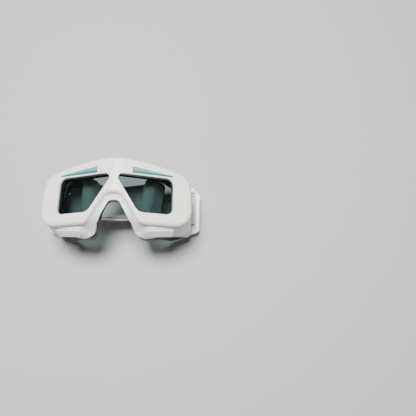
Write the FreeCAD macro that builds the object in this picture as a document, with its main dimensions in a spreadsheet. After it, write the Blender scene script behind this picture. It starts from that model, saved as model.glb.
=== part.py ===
"""Wraparound protective goggles: white moulded frame, two tinted filter plates, face seal, vents and strap.

Row frame: +X to the viewer's right, +Y towards the forehead, +Z out of the lenses.  The goggles lie lens up.
Outlines are drawn in facet coordinates: u outwards from the nose line, v up from the window top line, and
depth measured backwards from the front face, which is two flat facets swept back from the nose line.
"""
import FreeCAD, Part
import math
import os
import Sketcher

from FreeCAD import Placement, Rotation, Vector

os.makedirs("parts", exist_ok=True)
doc = FreeCAD.newDocument("goggles")

# ---------------------------------------------------------------------------------------------- dimensions
DIMENSIONS = {
    # overall
    "face_height": 80.0,       # nose line of the front face above the resting plane
    "window_line": 19.7,       # window top line, above the row origin
    "sweep": 16.57,            # each facet is turned back by this angle
    "wall": 2.4,               # moulded wall
    "face_wall": 2.2,          # wall of the front face
    # front face outline
    "crown": 17.0,             # top edge at the nose line
    "crown_round": 190.0,      # gentle arch of the top edge
    "face_half": 75.2,         # outer edge
    "face_bottom": -48.5,      # bottom edge
    "nose_crease": -18.5,      # edge of the face over the nose
    "roll": 4.0,               # roll of the face edge
    # rear rim outline
    "rim_crown": 16.4,
    "rim_half": 71.0,
    "rim_bottom": -58.5,
    "rim_nose": -25.8,
    # head shape that the rim follows
    "head_half": 73.5,
    "head_depth": 84.0,
    "head_centre": -22.0,
    "nose_bump_radius": 24.0,
    "nose_bump_line": -29.0,
    "nose_bump_height": 50.3,
    "nose_bump_half": 22.0,
    "nose_bump_round": 9.0,
    # window and filter plate
    "plate_margin": 1.8,
    "plate_thick": 3.0,
    "gasket_margin": 2.8,
    "gasket_lip": 1.0,
    "gasket_depth": 4.2,
    "retainer_thick": 1.8,
    "retainer_lip": 0.6,
    "fit_gap": 0.1,
    # screws
    "boss_radius": 2.6,
    "boss_start": 1.0,         # depth of the boss roots, inside the face wall
    "tab_radius": 3.0,
    "screw_radius": 1.0,
    "screw_head_radius": 2.0,
    "screw_head_height": 1.3,
    "screw_reach": 5.0,
    "cross_wide": 0.5,         # driver slot
    "cross_long": 2.2,
    "cross_deep": 0.6,
    # face seal
    "seal_width": 3.6,
    "seal_depth": 18.0,        # how far the seal reaches behind the rim
    "seal_nose_depth": 11.0,   # and over the nose
    "seal_floor": 7.0,
    "seal_inset": 0.6,         # seal set in from the rim outline
    "trim_depth": 1.4,
    "trim_inset": 1.4,
    "trim_width": 2.0,
    "seal_gap": 0.2,
    # ears and strap
    "ear_low": 6.0,
    "ear_thick": 3.5,
    "ear_reach": 80.3,
    "ear_root": 60.0,          # inner end of the ear, inside the shell
    "ear_top": 12.5,
    "ear_shoulder": 1.5,       # top of the ear's outer edge
    "ear_bottom": -39.5,       # bottom of the ear's outer edge
    "ear_root_bottom": -46.5,
    "ear_root_height": 6.0,    # thickened root above the resting plane of the ear
    "slot_inner": 71.4,
    "slot_outer": 76.0,
    "slot_top": 6.5,
    "slot_bottom": -34.8,
    "bar_at": 73.7,            # moulded bar under the slot, which the webbing loops round
    "bar_height": 2.35,
    "bar_radius": 0.85,
    "lug_wide": 5.0,
    "lug_thick": 3.0,
    "lug_low": 0.6,
    "lug_gap": 0.5,            # webbing edge to lug
    "strap_wide": 38.0,
    "strap_thick": 1.4,
    "strap_middle": -14.2,
    # three-bar slider
    "slider_at": 54.0,
    "slider_long": 12.0,
    "slider_tall": 44.6,
    "slider_low": 1.6,
    "slider_high": 6.4,
    "slider_bar": 2.6,
    "slider_bar_thick": 1.5,
    "slider_rail": 2.6,
    # vents
    "vent_upper_long": 29.0,
    "vent_lower_long": 25.0,
    "vent_high": 8.6,
    "vent_thick": 1.6,
    "vent_slot_cover": 3.5,    # cap past the end of its slot
    "vent_slot_high": 3.0,
    "vent_rim": 1.2,           # wall of the cap round its hollow
    "vent_lift": 0.2,          # cap above its own seat
    "vent_upper_at": 36.0,     # centre of the upper vents, out from the nose line
    "vent_lower_at": 49.0,
    "vent_upper_line": 13.3,
    "vent_lower_line": -52.7,
    "vent_upper_deep": 11.5,
    "vent_lower_deep": 11.0,
    "vent_upper_lean": -84.0,  # turns that bring a vent square to its wall
    "vent_lower_lean": 58.0,
    "vent_upper_twist": -10.6,
    "vent_lower_twist": 4.5,
    "baffle_near": 3.9,        # foam strip, between these depths behind the vent
    "baffle_far": 6.5,
}

sheet = doc.addObject("Spreadsheet::Sheet", "sheet")
for row, (alias, value) in enumerate(DIMENSIONS.items(), start=1):
    sheet.set(f"A{row}", alias)
    sheet.set(f"B{row}", str(value))
    sheet.setAlias(f"B{row}", alias)
doc.recompute()


def size(alias):
    """The value of one driving dimension."""
    return float(getattr(sheet, alias))


# ------------------------------------------------------------------------------------------------- outlines
def rounded(corners):
    """Edges of a closed outline through (x, y, radius) corners, in the XY plane."""
    points = [Vector(x, y, 0) for x, y, _ in corners]
    count = len(points)
    cuts = []
    for i, (_, _, radius) in enumerate(corners):
        back = (points[i - 1] - points[i]).normalize()
        ahead = (points[(i + 1) % count] - points[i]).normalize()
        half = back.getAngle(ahead) / 2
        reach = radius / math.tan(half)
        start = points[i] + back * reach
        end = points[i] + ahead * reach
        middle = (back + ahead).normalize()
        top = points[i] + middle * (radius / math.sin(half) - radius)
        cuts.append((start, top, end, radius))
    edges = []
    for i in range(count):
        start, top, end, radius = cuts[i]
        if radius > 0:
            edges.append(Part.Arc(start, top, end))
        edges.append(Part.LineSegment(end, cuts[(i + 1) % count][0]))
    return edges


def grown(corners, margin):
    """The same outline, moved outwards by margin all round; corners run clockwise."""
    count = len(corners)
    lines = []
    for i in range(count):
        x0, y0, _ = corners[i]
        x1, y1, _ = corners[(i + 1) % count]
        along = Vector(x1 - x0, y1 - y0, 0).normalize()
        outward = Vector(-along.y, along.x, 0)
        lines.append((Vector(x0, y0, 0) + outward * margin, along))
    result = []
    for i in range(count):
        p, d = lines[i - 1]
        q, e = lines[i]
        cross = d.x * e.y - d.y * e.x
        step = ((q.x - p.x) * e.y - (q.y - p.y) * e.x) / cross
        corner = p + d * step
        radius = corners[i][2]
        if radius > 0:
            radius = max(radius + (margin if cross < 0 else -margin), 0.4)
        result.append((corner.x, corner.y, radius))
    return result


def mirrored(corners):
    """The outline on the other side of the nose line, still clockwise."""
    return [(-x, y, r) for x, y, r in reversed(corners)]


OVERLAP = 16.0   # how far a half outline runs past the nose line before it is trimmed there

WINDOW = [(0.8, 0.0, 3.2), (58.0, -0.7, 6.0), (58.0, -37.7, 4.5), (25.0, -37.5, 7.5)]


def seat(margin, limit, radius=1.0):
    """The window outline, grown by margin, with its sharp nose corner cut off at u = limit."""
    wide = grown(WINDOW, margin)
    (x0, y0, _), (x1, y1, _), last = wide[0], wide[1], wide[3]
    top = y0 + (y1 - y0) * (limit - x0) / (x1 - x0)
    low = y0 + (last[1] - y0) * (limit - x0) / (last[0] - x0)
    return [(limit, top, radius)] + wide[1:] + [(limit, low, radius)]


def face_outline():
    """Edge of the right facet where the roll is widest."""
    return [
        (-OVERLAP, size("crown"), 0),
        (32.0, size("crown"), size("crown_round")),
        (size("face_half"), 2.5, 15.0),
        (size("face_half"), size("face_bottom"), 17.0),
        (27.5, size("face_bottom"), 11.0),
        (9.2, size("nose_crease"), 11.0),
        (-OVERLAP, size("nose_crease"), 0),
    ]


def skirt_outline():
    """Section a few millimetres back: the nose side has flared to its lip, the rest is a shallow neck."""
    return [
        (-OVERLAP, size("crown") - 2.0, 0),
        (32.0, size("crown") - 2.0, size("crown_round")),
        (size("face_half") - 2.0, 0.8, 13.5),
        (size("face_half") - 2.0, size("face_bottom") + 1.0, 15.0),
        (20.0, size("face_bottom") - 3.0, 7.0),
        (3.2, size("rim_nose"), 6.0),
        (-OVERLAP, size("rim_nose"), 0),
    ]


def flange_outline():
    """Section behind the neck, where the bottom wall has flared to the cheek lip."""
    return [
        (-OVERLAP, size("rim_crown"), 0),
        (32.0, size("rim_crown"), size("crown_round")),
        (size("rim_half") + 2.5, 1.6, 14.0),
        (size("rim_half") + 2.5, size("face_bottom") + 2.0, 12.0),
        (23.4, size("rim_bottom"), 6.0),
        (3.2, size("rim_nose"), 5.5),
        (-OVERLAP, size("rim_nose"), 0),
    ]


def rim_outline():
    """Section at the resting plane."""
    return [
        (-OVERLAP, size("rim_crown"), 0),
        (32.0, size("rim_crown"), size("crown_round")),
        (size("rim_half"), 8.0, 10.0),
        (size("rim_half"), size("face_bottom") + 3.5, 10.0),
        (23.4, size("rim_bottom"), 6.0),
        (3.2, size("rim_nose"), 5.5),
        (-OVERLAP, size("rim_nose"), 0),
    ]


def facet_place(depth, side=1):
    """Placement of facet coordinates at a depth behind the front face."""
    turn = Rotation(Vector(0, 1, 0), side * size("sweep"))
    origin = Vector(0, size("window_line"), size("face_height"))
    return Placement(origin + turn.multVec(Vector(0, 0, -depth)), turn)


def level_place(height):
    """Placement of outline coordinates on a level plane."""
    return Placement(Vector(0, size("window_line"), height), Rotation())


def wire_at(corners, place):
    wire = Part.Wire([edge.toShape() for edge in rounded(corners)])
    wire.Placement = place
    return wire


def prism(corners, place, length):
    """Solid from an outline, run backwards from its placement."""
    face = Part.Face(wire_at(corners, place))
    return face.extrude(place.Rotation.multVec(Vector(0, 0, -length)))


# ----------------------------------------------------------------------------------- document object helpers
PARTS = []


def keep(item, label):
    item.Label = label
    PARTS.append(item)
    return item


def shaped(label, shape):
    """A sub-part whose form is a loft or a bent band, so its Shape is set directly."""
    item = doc.addObject("Part::Feature", label)
    item.Shape = shape
    return keep(item, label)


def origin_plane(body, role):
    return next(plane for plane in body.Origin.OriginFeatures if plane.Role == role)


def outline_sketch(body, name, corners, height=None):
    """Sketch of a rounded outline on the body's XY plane, at a height given as an expression."""
    sketch = body.newObject("Sketcher::SketchObject", name)
    sketch.AttachmentSupport = (origin_plane(body, "XY_Plane"), [""])
    sketch.MapMode = "FlatFace"
    if height:
        sketch.setExpression(".AttachmentOffset.Base.z", height)
    sketch.addGeometry(rounded(corners), False)
    return sketch


def circle_sketch(body, name, centres, radius, height=None):
    """Sketch of equal circles whose radius is an expression."""
    sketch = body.newObject("Sketcher::SketchObject", name)
    sketch.AttachmentSupport = (origin_plane(body, "XY_Plane"), [""])
    sketch.MapMode = "FlatFace"
    if height:
        sketch.setExpression(".AttachmentOffset.Base.z", height)
    for x, y in centres:
        number = sketch.addGeometry(Part.Circle(Vector(x, y, 0), Vector(0, 0, 1), 1.0), False)
        rule = sketch.addConstraint(Sketcher.Constraint("Radius", number, 1.0))
        sketch.setExpression(f"Constraints[{rule}]", radius)
    return sketch


def pad(body, sketch, name, length, reverse=True):
    feature = body.newObject("PartDesign::Pad", name)
    feature.Profile = sketch
    feature.setExpression("Length", length)
    feature.Reversed = reverse
    sketch.Visibility = False
    return feature


def pocket(body, sketch, name, length, reverse=False):
    """Cut backwards from the sketch; the volume has to fall."""
    doc.recompute()
    before = body.Shape.Volume
    feature = body.newObject("PartDesign::Pocket", name)
    feature.Profile = sketch
    feature.setExpression("Length", length)
    feature.Reversed = reverse
    doc.recompute()
    if not body.Shape.Volume < before - 0.01:
        raise RuntimeError(f"{name} cut nothing")
    return feature


def new_body(label, side):
    """Body in facet coordinates, its XY plane on the front face."""
    body = doc.addObject("PartDesign::Body", label)
    body.Placement = facet_place(0, side)
    body.setExpression(".Placement.Base.z", "sheet.face_height")
    body.setExpression(".Placement.Base.y", "sheet.window_line")
    return keep(body, label)


# ------------------------------------------------------------------------------------------- screws positions
NOSE_LIMITS = {"plate": 3.2, "gasket": 2.5, "retainer": 3.0, "pocket": 2.4}
SCREWS = [(16.0, 4.9), (42.0, 4.6), (62.3, -19.0), (53.0, -41.9), (33.0, -41.9)]


# --------------------------------------------------------------------------------------------- moulded frame
def half_space():
    """Everything on the right of the nose line."""
    return Part.makeBox(200, 400, 400, Vector(0, -200, -200))


def both_sides(half):
    """A right half, trimmed at the nose line and mirrored."""
    half = half.common(half_space())
    other = half.mirror(Vector(0, 0, 0), Vector(1, 0, 0))
    return half.fuse(other).removeSplitter()


def hull_half(margin, first):
    """Right half of the frame's outer form, moved inwards by margin and starting at a depth."""
    face = face_outline()
    sections = [
        wire_at(grown(face, -size("roll") * 0.9 - margin), facet_place(first)),
        wire_at(grown(face, -size("roll") * 0.35 - margin), facet_place(first + 0.9)),
        wire_at(grown(face, -margin), facet_place(first + 3.2)),
        wire_at(grown(skirt_outline(), -margin), facet_place(first * 0.4 + 6.2)),
        wire_at(grown(flange_outline(), -margin), facet_place(15.0)),
    ]
    front = Part.makeLoft(sections, True, True)
    rear = Part.makeLoft(
        [sections[-1], wire_at(grown(rim_outline(), -margin), level_place(-8.0))], True, True
    )
    return front.fuse(rear)


def head_solid(shrink=0.0, nose_shrink=0.0):
    """The wearer's face, or a smaller copy of it: an elliptic cylinder with a rounded nose."""
    half = size("head_half") - shrink
    depth = size("head_depth") - shrink
    centre = Vector(0, -100, size("head_centre"))
    if depth >= half:
        ellipse = Part.Ellipse(centre + Vector(0, 0, depth), centre + Vector(half, 0, 0), centre)
    else:
        ellipse = Part.Ellipse(centre + Vector(half, 0, 0), centre + Vector(0, 0, depth), centre)
    face = Part.Face(Part.Wire([ellipse.toShape()]))
    skull = face.extrude(Vector(0, 200, 0))
    bump_half = size("nose_bump_half")
    nose = Part.makeCylinder(
        size("nose_bump_radius") - nose_shrink,
        2 * bump_half,
        Vector(-bump_half, size("window_line") + size("nose_bump_line"), size("nose_bump_height")),
        Vector(1, 0, 0),
    )
    nose = nose.makeFillet(size("nose_bump_round"), nose.Edges)
    return skull.fuse(nose)


def ear_half():
    """Right strap ear: a level plate with a tall slot, its thick root, and a bar on two lugs under the slot.

    Returns the ear, the slot and the bar with its lugs.
    """
    low = size("ear_low")
    root_x = size("ear_root")
    top = size("ear_top")
    bottom = size("ear_bottom")
    inner = size("slot_inner")
    outer = size("slot_outer")
    corner = 1.5
    outline = [
        (root_x, top, 0),
        (inner - 0.4, top, 2.0),
        (size("ear_reach"), size("ear_shoulder"), 5.0),
        (size("ear_reach"), bottom, 5.0),
        (root_x, size("ear_root_bottom"), 0),
    ]
    root_outline = [
        (root_x, top, 0),
        (inner, top, corner),
        (inner, bottom - 3.0, corner),
        (root_x, bottom - 3.0, 0),
    ]
    slot_outline = [
        (inner, size("slot_top"), corner),
        (outer, size("slot_top"), corner),
        (outer, size("slot_bottom"), corner),
        (inner, size("slot_bottom"), corner),
    ]
    root_top = low + 2 * size("ear_root_height")
    low_y = size("window_line") + size("strap_middle") - size("strap_wide") / 2 - size("lug_gap")
    high_y = low_y + size("strap_wide") + 2 * size("lug_gap")
    lug_thick = size("lug_thick")
    bar_at = size("bar_at")
    bar_spot = Vector(bar_at, low_y - lug_thick / 2, size("bar_height"))
    bar_long = high_y - low_y + lug_thick
    bar = Part.makeCylinder(size("bar_radius"), bar_long, bar_spot, Vector(0, 1, 0))
    for lug_y in (low_y - lug_thick, high_y):
        corner_spot = Vector(bar_at - size("lug_wide") / 2, lug_y, size("lug_low"))
        lug = Part.makeBox(size("lug_wide"), lug_thick, low + 1.0 - size("lug_low"), corner_spot)
        bar = bar.fuse(lug)
    plate = prism(outline, level_place(low + size("ear_thick")), size("ear_thick"))
    root = prism(root_outline, level_place(root_top), root_top - low)
    slot = prism(slot_outline, level_place(2 * root_top), 3 * root_top)
    return plate.fuse(root).cut(slot), slot, bar


def vent_place(side, upper):
    """Centre and turn of a vent cover on the outer wall: its local Z is the wall's outward normal."""
    kind = "vent_upper" if upper else "vent_lower"
    sweep = Rotation(Vector(0, 1, 0), side * size("sweep"))
    local = Vector(side * size(f"{kind}_at"), size(f"{kind}_line"), -size(f"{kind}_deep"))
    lean = Rotation(Vector(1, 0, 0), size(f"{kind}_lean"))
    twist = Rotation(Vector(0, 0, 1), side * size(f"{kind}_twist"))
    nose_point = Vector(0, size("window_line"), size("face_height"))
    return Placement(nose_point + sweep.multVec(local), sweep * twist * lean)


def vent_long(upper):
    """Length of a vent's cap."""
    return size("vent_upper_long" if upper else "vent_lower_long")


def vent_box(side, upper, long, high, low_z, high_z):
    """Box centred on a vent, between two heights along the wall's outward normal."""
    box = Part.makeBox(long, high, high_z - low_z, Vector(-long / 2, -high / 2, low_z))
    box.Placement = vent_place(side, upper)
    return box


def build_frame():
    outer = hull_half(0.0, 0.0)
    inner = hull_half(size("wall"), size("face_wall"))
    shell = outer.cut(inner)
    shell = shell.common(Part.makeBox(400, 400, 400, Vector(-200, -200, size("ear_low"))))
    ear, slot, bar = ear_half()
    pocket_margin = size("gasket_margin") + size("fit_gap")
    boss_start = size("boss_start")
    boss_top = facet_place(boss_start)
    boss_length = size("face_wall") + size("gasket_depth") - boss_start
    for u, v in SCREWS:
        boss = Part.makeCylinder(size("boss_radius"), boss_length)
        boss.Placement = boss_top * Placement(Vector(u, v, 0), Rotation(Vector(1, 0, 0), 180))
        shell = shell.fuse(boss)
    shell = shell.cut(prism(WINDOW, facet_place(-5), 12.0))
    pocket_outline = seat(pocket_margin, NOSE_LIMITS["pocket"])
    shell = shell.cut(prism(pocket_outline, facet_place(size("face_wall")), 9.0))
    for u, v in SCREWS:
        bore = Part.makeCylinder(size("screw_radius") + 0.05, boss_length)
        spot = Placement(Vector(u, v, 0), Rotation(Vector(1, 0, 0), 180))
        bore.Placement = facet_place(boss_start + 0.4) * spot
        shell = shell.cut(bore)
    shell = shell.fuse(ear.cut(inner)).cut(slot)
    shell = shell.cut(head_solid()).fuse(bar)
    deep = size("baffle_far")
    for upper in (False, True):
        slot_long = vent_long(upper) - 2 * size("vent_slot_cover")
        shell = shell.cut(vent_box(1, upper, slot_long, size("vent_slot_high"), -deep, deep))
    return both_sides(shell)


frame = shaped("frame_shell", build_frame())
print("frame volume", round(frame.Shape.Volume), "solids", len(frame.Shape.Solids))


# ------------------------------------------------------------- filter plates, gaskets and their retainers
def lens_group(side, word):
    def facing(corners):
        return corners if side > 0 else mirrored(corners)

    plate_outline = facing(seat(size("plate_margin"), NOSE_LIMITS["plate"]))
    gasket_outline = facing(seat(size("gasket_margin"), NOSE_LIMITS["gasket"]))
    retainer_outline = facing(seat(size("gasket_margin"), NOSE_LIMITS["retainer"]))
    screws = [(side * u, v) for u, v in SCREWS]
    plate_front = "-sheet.face_wall - (sheet.gasket_depth - sheet.plate_thick) / 2"

    plate = new_body(f"filter_plate_{word}", side)
    sketch = outline_sketch(plate, f"plate_outline_{word}", plate_outline, plate_front)
    pad(plate, sketch, f"plate_pad_{word}", "sheet.plate_thick")

    gasket = new_body(f"lens_gasket_{word}", side)
    front = "-sheet.face_wall"
    sketch = outline_sketch(gasket, f"gasket_outer_{word}", gasket_outline, front)
    pad(gasket, sketch, f"gasket_pad_{word}", "sheet.gasket_depth")
    sketch = outline_sketch(gasket, f"gasket_inner_{word}", facing(grown(WINDOW, -size("gasket_lip"))), front)
    pocket(gasket, sketch, f"gasket_hole_{word}", "sheet.gasket_depth")
    sketch = outline_sketch(gasket, f"gasket_groove_{word}", plate_outline, plate_front)
    pocket(gasket, sketch, f"gasket_channel_{word}", "sheet.plate_thick")

    retainer = new_body(f"lens_retainer_{word}", side)
    back = "-sheet.face_wall - sheet.gasket_depth"
    sketch = outline_sketch(retainer, f"retainer_outer_{word}", retainer_outline, back)
    pad(retainer, sketch, f"retainer_pad_{word}", "sheet.retainer_thick")
    for number, centre in enumerate(screws):
        sketch = circle_sketch(retainer, f"retainer_tab_{word}_{number}", [centre], "sheet.tab_radius", back)
        pad(retainer, sketch, f"retainer_tab_pad_{word}_{number}", "sheet.retainer_thick")
    clear_outline = facing(grown(WINDOW, -size("retainer_lip")))
    sketch = outline_sketch(retainer, f"retainer_inner_{word}", clear_outline, back)
    pocket(retainer, sketch, f"retainer_hole_{word}", "sheet.retainer_thick")
    sketch = circle_sketch(
        retainer, f"retainer_bores_{word}", screws, "sheet.screw_radius + sheet.fit_gap", back
    )
    pocket(retainer, sketch, f"retainer_drill_{word}", "sheet.retainer_thick")


lens_group(-1, "left")
lens_group(1, "right")


def retainer_screws(side, word):
    """Five pan-head screws that clamp one retainer."""
    pieces = []
    for number, (u, v) in enumerate(SCREWS):
        head = doc.addObject("Part::Cylinder", f"screw_head_{word}_{number}")
        head.setExpression("Radius", "sheet.screw_head_radius")
        head.setExpression("Height", "sheet.screw_head_height")
        shank = doc.addObject("Part::Cylinder", f"screw_shank_{word}_{number}")
        shank.setExpression("Radius", "sheet.screw_radius")
        shank.setExpression("Height", "sheet.screw_reach + sheet.screw_head_height")
        depth = size("face_wall") + size("gasket_depth") + size("retainer_thick")
        spot = facet_place(depth, side) * Placement(Vector(side * u, v, 0), Rotation())
        head.Placement = spot * Placement(Vector(0, 0, -size("screw_head_height")), Rotation())
        shank.Placement = head.Placement
        socket = doc.addObject("Part::Box", f"screw_cross_{word}_{number}")
        socket.setExpression("Length", "sheet.cross_wide")
        socket.setExpression("Width", "sheet.cross_long")
        socket.setExpression("Height", "sheet.cross_deep")
        centred = Vector(-size("cross_wide") / 2, -size("cross_long") / 2, 0)
        socket.Placement = head.Placement * Placement(centred, Rotation())
        screw = doc.addObject("Part::MultiFuse", f"screw_body_{word}_{number}")
        screw.Shapes = [head, shank]
        slotted = doc.addObject("Part::Cut", f"screw_{word}_{number}")
        slotted.Base = screw
        slotted.Tool = socket
        pieces.append(slotted)
    group = doc.addObject("Part::Compound", f"retainer_screws_{word}")
    group.Links = pieces
    return keep(group, f"retainer_screws_{word}")


retainer_screws(-1, "left")
retainer_screws(1, "right")


# ------------------------------------------------------------------------------------------------- face seal
def seal_band(near, far, inset, width):
    """Ring behind the rim, between two depths into the head, each (face, nose), and of a given width."""
    rim = rim_outline()
    ring = prism(grown(rim, -inset), level_place(90), 100).cut(
        prism(grown(rim, -inset - width), level_place(91), 102)
    )
    ring = ring.common(Part.makeBox(400, 400, 400, Vector(-200, -200, size("seal_floor"))))
    return both_sides(ring.common(head_solid(*near)).cut(head_solid(*far)))


def deeper(depths, step):
    return tuple(depth + step for depth in depths)


seal_start = (size("seal_gap"), size("seal_gap"))
seal_end = (size("seal_depth"), size("seal_nose_depth"))
trim_end = deeper(seal_end, size("trim_depth"))
shaped("face_seal", seal_band(seal_start, seal_end, size("seal_inset"), size("seal_width")))
shaped("seal_edge_trim", seal_band(seal_end, trim_end, size("trim_inset"), size("trim_width")))


# ----------------------------------------------------------------------------------------------------- vents
def vent_cover(side, word, upper):
    """Shallow cap over one vent, open at the back edge, with its skirt on the frame wall."""
    long = vent_long(upper)
    high = size("vent_high")
    lift = size("vent_lift")
    rim = size("vent_rim")
    cap = vent_box(side, upper, long, high, lift, lift + size("vent_thick") + 0.8)
    hollow = vent_box(side, upper, long - 2 * rim, high - 2 * rim, 0.0, lift + 0.8)
    return shaped(f"vent_cover_{word}", cap.cut(hollow).cut(frame.Shape).cut(head_solid()))


def vent_baffle(side, word, upper):
    """Foam strip behind one vent."""
    long = vent_long(upper) - 2 * size("vent_slot_cover") + 3.0
    high = size("vent_slot_high") + 2.0
    strip = vent_box(side, upper, long, high, -size("baffle_far"), -size("baffle_near"))
    return shaped(f"vent_filter_{word}", strip.cut(frame.Shape))


for side, hand in ((-1, "left"), (1, "right")):
    vent_cover(side, f"lower_{hand}", False)
    vent_cover(side, f"upper_{hand}", True)
    vent_baffle(side, f"lower_{hand}", False)
    vent_baffle(side, f"upper_{hand}", True)


# ----------------------------------------------------------------------------------------------------- strap
STRAP_ROUTE = [
    # (x, z, bend radius) of the middle of the webbing, from the left end to the right end
    (-61.0, 0.7, 0),
    (-75.35, 0.7, 1.6),
    (-75.35, 4.0, 1.6),
    (-56.5, 4.0, 3.0),
    (-59.4, 25.0, 3.5),
    (-46.0, 19.8, 5.0),
    (-40.5, 7.0, 2.8),
    (-38.3, 49.0, 6.2),
    (-25.3, 49.0, 6.2),
    (-24.0, 31.0, 5.0),
    (2.0, 28.0, 12.0),
    (21.0, 34.0, 5.0),
    (24.5, 50.5, 4.2),
    (33.5, 47.5, 6.0),
    (41.5, 33.0, 5.0),
    (38.5, 4.0, 3.2),
    (75.35, 4.0, 1.6),
    (75.35, 0.7, 1.6),
    (45.0, 0.7, 0),
]


def strap_band(route, thick, wide):
    """Webbing along a route in the XZ plane: straight runs joined by tangent arcs, thickened and widened."""
    points = [Vector(x, 0, z) for x, z, _ in route]
    stations = [(points[0], (points[1] - points[0]).normalize())]
    arcs = {}
    length = 0.0
    for i in range(1, len(points) - 1):
        back = (points[i - 1] - points[i]).normalize()
        ahead = (points[i + 1] - points[i]).normalize()
        half = back.getAngle(ahead) / 2
        radius = route[i][2]
        reach = radius / math.tan(half)
        centre = points[i] + (back + ahead).normalize() * (radius / math.sin(half))
        arcs[len(stations)] = (centre, radius, (points[i] - centre).normalize())
        length += (points[i] + back * reach - stations[-1][0]).Length + radius * (math.pi - 2 * half)
        stations.append((points[i] + back * reach, back * -1))
        stations.append((points[i] + ahead * reach, ahead))
    stations.append((points[-1], (points[-1] - points[-2]).normalize()))
    length += (stations[-1][0] - stations[-2][0]).Length

    def edge_line(side):
        """One face of the webbing, as joined lines and arcs from the first station to the last."""
        shift = side * thick / 2
        spots = [p + Vector(-t.z, 0, t.x) * shift for p, t in stations]
        edges = []
        for k in range(len(spots) - 1):
            if k in arcs:
                centre, radius, outward = arcs[k]
                near = (spots[k] - centre).Length
                edges.append(Part.Arc(spots[k], centre + outward * near, spots[k + 1]).toShape())
            else:
                edges.append(Part.LineSegment(spots[k], spots[k + 1]).toShape())
        return spots, edges

    one, one_edges = edge_line(1)
    two, two_edges = edge_line(-1)
    caps = [Part.LineSegment(one[0], two[0]).toShape(), Part.LineSegment(one[-1], two[-1]).toShape()]
    wire = Part.Wire(Part.__sortEdges__(one_edges + two_edges + caps))
    low_y = size("window_line") + size("strap_middle") - wide / 2
    band = Part.Face(wire).extrude(Vector(0, wide, 0))
    band.translate(Vector(0, low_y, 0))
    return band, length


band, strap_length = strap_band(STRAP_ROUTE, size("strap_thick"), size("strap_wide"))
print("strap length", round(strap_length, 1), "volume", round(band.Volume))
strap = shaped("head_strap", band)


# ---------------------------------------------------------------------------------------------------- slider
def slider_box(name, long, tall, high, corner):
    """Box whose sizes and lowest corner are expressions."""
    box = doc.addObject("Part::Box", name)
    box.setExpression("Length", long)
    box.setExpression("Width", tall)
    box.setExpression("Height", high)
    for axis, value in zip("xyz", corner):
        box.setExpression(f".Placement.Base.{axis}", value)
    return box


def build_slider():
    """Two bars over the webbing, one between its layers, and a rail at each end."""
    rail_high = "sheet.slider_high - sheet.slider_low"
    left = "sheet.slider_at - sheet.slider_long / 2"
    low_y = "sheet.window_line + sheet.strap_middle - sheet.slider_tall / 2"
    high_y = "sheet.window_line + sheet.strap_middle + sheet.slider_tall / 2 - sheet.slider_rail"
    top = "sheet.slider_high - sheet.slider_bar_thick"
    bars = [
        slider_box("slider_rail_near", "sheet.slider_long", "sheet.slider_rail", rail_high,
                   (left, low_y, "sheet.slider_low")),
        slider_box("slider_rail_far", "sheet.slider_long", "sheet.slider_rail", rail_high,
                   (left, high_y, "sheet.slider_low")),
        slider_box("slider_bar_inner", "sheet.slider_bar", "sheet.slider_tall", "sheet.slider_bar_thick",
                   (left, low_y, top)),
        slider_box("slider_bar_outer", "sheet.slider_bar", "sheet.slider_tall", "sheet.slider_bar_thick",
                   ("sheet.slider_at + sheet.slider_long / 2 - sheet.slider_bar", low_y, top)),
        slider_box("slider_bar_under", "sheet.slider_bar", "sheet.slider_tall", "sheet.slider_bar_thick",
                   ("sheet.slider_at - sheet.slider_bar / 2", low_y, "sheet.slider_low")),
    ]
    slider = doc.addObject("Part::MultiFuse", "strap_slider")
    slider.Shapes = bars
    return keep(slider, "strap_slider")


build_slider()


def check_and_export():
    doc.recompute()
    for item in doc.Objects:
        bad = [state for state in item.State if state in ("Invalid", "Error")]
        if bad:
            raise RuntimeError(f"{item.Label} is {bad}")
    for item in PARTS:
        shape = item.Shape
        if shape.isNull() or not shape.isValid() or not shape.Solids:
            raise RuntimeError(f"{item.Label} has no valid solid")
        shape.exportStep(os.path.join("parts", f"{item.Label}.step"))
        box = shape.BoundBox
        ranges = f"x {box.XMin:.1f} {box.XMax:.1f} y {box.YMin:.1f} {box.YMax:.1f}"
        ranges += f" z {box.ZMin:.1f} {box.ZMax:.1f}"
        print(f"{item.Label:26s} solids {len(shape.Solids)} volume {shape.Volume:9.1f} {ranges}")


check_and_export()
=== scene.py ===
"""Looks for the wraparound goggles: moulded frame, tinted plates, rubber seal, vents and folded webbing."""
import math

import bmesh
import bpy
import numpy as np
from mathutils import Matrix, Vector
from mathutils.geometry import delaunay_2d_cdt


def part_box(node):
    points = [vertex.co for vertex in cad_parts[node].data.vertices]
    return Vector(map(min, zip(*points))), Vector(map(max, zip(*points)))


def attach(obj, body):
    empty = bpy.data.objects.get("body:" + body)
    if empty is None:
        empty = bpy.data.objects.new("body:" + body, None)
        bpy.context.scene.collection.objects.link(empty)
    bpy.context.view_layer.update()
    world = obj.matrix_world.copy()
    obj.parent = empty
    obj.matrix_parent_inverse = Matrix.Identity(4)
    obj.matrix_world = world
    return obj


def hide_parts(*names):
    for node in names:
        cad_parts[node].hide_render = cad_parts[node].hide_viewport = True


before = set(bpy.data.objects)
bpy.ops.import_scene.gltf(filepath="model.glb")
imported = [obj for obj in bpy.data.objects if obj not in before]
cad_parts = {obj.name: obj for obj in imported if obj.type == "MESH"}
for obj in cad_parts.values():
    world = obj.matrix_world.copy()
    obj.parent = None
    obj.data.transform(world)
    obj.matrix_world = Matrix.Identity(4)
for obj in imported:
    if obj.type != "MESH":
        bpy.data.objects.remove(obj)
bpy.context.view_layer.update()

MM = 0.001
BODY = "goggles"

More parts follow.
